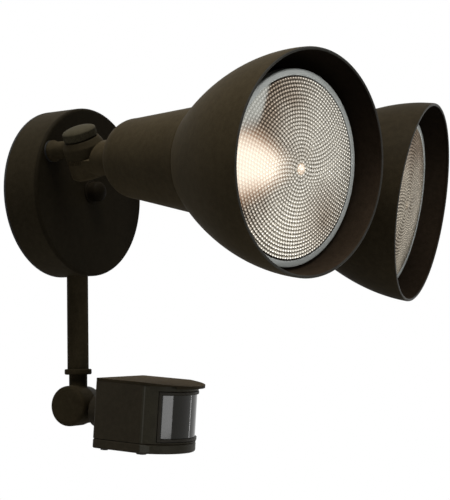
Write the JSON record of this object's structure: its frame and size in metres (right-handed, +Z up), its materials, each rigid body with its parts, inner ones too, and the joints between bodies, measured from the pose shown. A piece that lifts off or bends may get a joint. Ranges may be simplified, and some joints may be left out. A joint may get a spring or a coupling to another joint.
{
  "type": "flood light",
  "caption": "Wall-mounted bronze flood light: two bell-shaped lamp holders on swivel knuckles, wide reflector lamps, round canopy and a motion sensor on a tube below.",
  "frame": {"origin": "middle of the canopy on the wall plane, midway between the two fixing slots at the crossbar's back face", "axes": "+X to the right seen from in front of the light, +Y into the wall, +Z up; the lamps and the sensor face -Y"},
  "size_m": [0.2941, 0.2735, 0.2513],
  "materials": {
    "bronze_paint": "textured matte dark bronze powder coat",
    "cap_paint": "satin near-black bronze",
    "foam": "matte",
    "zinc_steel": "zinc plated",
    "green_screw": "green coated",
    "brass_rod": "satin",
    "socket_shell": "satin",
    "socket_body": "glazed off-white",
    "lamp_base": "rolled bright",
    "lamp_tip": "black glass insulator",
    "silvered_glass": "vacuum-coated glass",
    "capsule_glass": "clear",
    "lens_glass": "stippled in the middle, clear ring",
    "sensor_plastic": "fine matte dark bronze",
    "window_plastic": "dark, glossy",
    "bezel_plastic": "matte black",
    "board": "green board",
    "control_plastic": "blue",
    "dial_plastic": "matte black",
    "detector_can": "satin"
  },
  "bodies": {
    "base": {"canopy": "bronze_paint", "gasket": "foam", "crossbar": "zinc_steel", "ground_screw": "green_screw", "centre_rod": "brass_rod", "rod_nut": "zinc_steel", "cap_nut": "cap_paint", "arm_locknuts": "zinc_steel", "arm_washers": "foam", "sensor_tube": "bronze_paint", "tube_locknut": "zinc_steel", "sensor_collar": "bronze_paint"},
    "arm_body_left": {"arm_left": "bronze_paint"},
    "arm_body_right": {"arm_right": "bronze_paint"},
    "knob_body_left": {"knob_left": "bronze_paint"},
    "knob_body_right": {"knob_right": "bronze_paint"},
    "head_left": {"holder_left": "bronze_paint", "hood_left": "bronze_paint", "socket_body_left": "socket_body", "socket_shell_left": "socket_shell", "socket_contact_left": "socket_shell"},
    "head_right": {"holder_right": "bronze_paint", "hood_right": "bronze_paint", "socket_body_right": "socket_body", "socket_shell_right": "socket_shell", "socket_contact_right": "socket_shell"},
    "carriage_left": {"lamp_seal_left": "foam"},
    "carriage_right": {"lamp_seal_right": "foam"},
    "lamp_left": {"lamp_base_left": "lamp_base", "lamp_tip_left": "lamp_tip", "lamp_reflector_left": "silvered_glass", "lamp_capsule_left": "capsule_glass", "lamp_lens_left": "lens_glass"},
    "lamp_right": {"lamp_base_right": "lamp_base", "lamp_tip_right": "lamp_tip", "lamp_reflector_right": "silvered_glass", "lamp_capsule_right": "capsule_glass", "lamp_lens_right": "lens_glass"},
    "sensor_swivel": {"sensor_neck": "bronze_paint", "sensor_clamp_screw": "zinc_steel"},
    "sensor_head": {"sensor_housing": "sensor_plastic", "sensor_lid": "sensor_plastic", "sensor_cover": "sensor_plastic", "sensor_bezel": "bezel_plastic", "sensor_lens": "window_plastic", "sensor_board": "board", "heat_detector": "detector_can", "setting_controls": "control_plastic", "cover_screws": "zinc_steel"},
    "time_dial": {"dial_time": "dial_plastic"},
    "range_dial": {"dial_range": "dial_plastic"}
  },
  "joints": [
    {"name": "arm_turn_left", "type": "hinge", "parent": "base", "child": "arm_body_left", "pos_m": [-0.045, -0.059, 0.025], "axis": [0, 1, 0], "range_deg": [-25.5, 90]},
    {"name": "lamp_swing_left", "type": "hinge", "parent": "arm_body_left", "child": "head_left", "pos_m": [-0.04185, -0.059, 0.01875], "axis": [-0.4493, 0, 0.8934], "range_deg": [-65, 5]},
    {"name": "knob_turn_left", "type": "hinge", "parent": "arm_body_left", "child": "knob_body_left", "pos_m": [-0.04185, -0.059, 0.01875], "axis": [-0.4493, 0, 0.8934], "range_deg": [0, 360]},
    {"name": "lamp_travel_left", "type": "slide", "parent": "head_left", "child": "carriage_left", "axis": [-0.1641, -0.9754, -0.147], "range_m": [0, 0.0185]},
    {"name": "lamp_screw_left", "type": "hinge", "parent": "carriage_left", "child": "lamp_left", "pos_m": [-0.0546, -0.12845, 0.01039], "axis": [-0.1641, -0.9754, -0.147], "range_deg": [0, 1800]},
    {"name": "arm_turn_right", "type": "hinge", "parent": "base", "child": "arm_body_right", "pos_m": [0.045, -0.059, 0.025], "axis": [0, 1, 0], "range_deg": [-90, 21.5]},
    {"name": "lamp_swing_right", "type": "hinge", "parent": "arm_body_right", "child": "head_right", "pos_m": [0.04084, -0.059, 0.01937], "axis": [0.5948, 0, 0.8039], "range_deg": [-5, 65]},
    {"name": "knob_turn_right", "type": "hinge", "parent": "arm_body_right", "child": "knob_body_right", "pos_m": [0.04084, -0.059, 0.01937], "axis": [0.5948, 0, 0.8039], "range_deg": [0, 360]},
    {"name": "lamp_travel_right", "type": "slide", "parent": "head_right", "child": "carriage_right", "axis": [0.1775, -0.963, -0.203], "range_m": [0, 0.0185]},
    {"name": "lamp_screw_right", "type": "hinge", "parent": "carriage_right", "child": "lamp_right", "pos_m": [0.05488, -0.12756, 0.00682], "axis": [0.1775, -0.963, -0.203], "range_deg": [0, 1800]},
    {"name": "sensor_pan", "type": "hinge", "parent": "base", "child": "sensor_swivel", "pos_m": [0, -0.0165, -0.14], "axis": [0, 0, -1], "range_deg": [-55, 60]},
    {"name": "sensor_tilt", "type": "hinge", "parent": "sensor_swivel", "child": "sensor_head", "pos_m": [0, -0.0165, -0.1542], "axis": [0.9962, 0.0872, 0], "range_deg": [-20, 40]},
    {"name": "dial_turn_time", "type": "hinge", "parent": "sensor_head", "child": "time_dial", "pos_m": [-0.01238, -0.08155, -0.18438], "axis": [-0.0072, 0.0825, -0.9966], "range_deg": [-135, 135]},
    {"name": "dial_turn_range", "type": "hinge", "parent": "sensor_head", "child": "range_dial", "pos_m": [0.02348, -0.07841, -0.18438], "axis": [-0.0072, 0.0825, -0.9966], "range_deg": [-135, 135]}
  ],
  "couplings": [
    {"joint": "lamp_travel_left", "follows": "lamp_screw_left", "m_per_rad": 0.00057773},
    {"joint": "lamp_travel_right", "follows": "lamp_screw_right", "m_per_rad": 0.00057773}
  ]
}
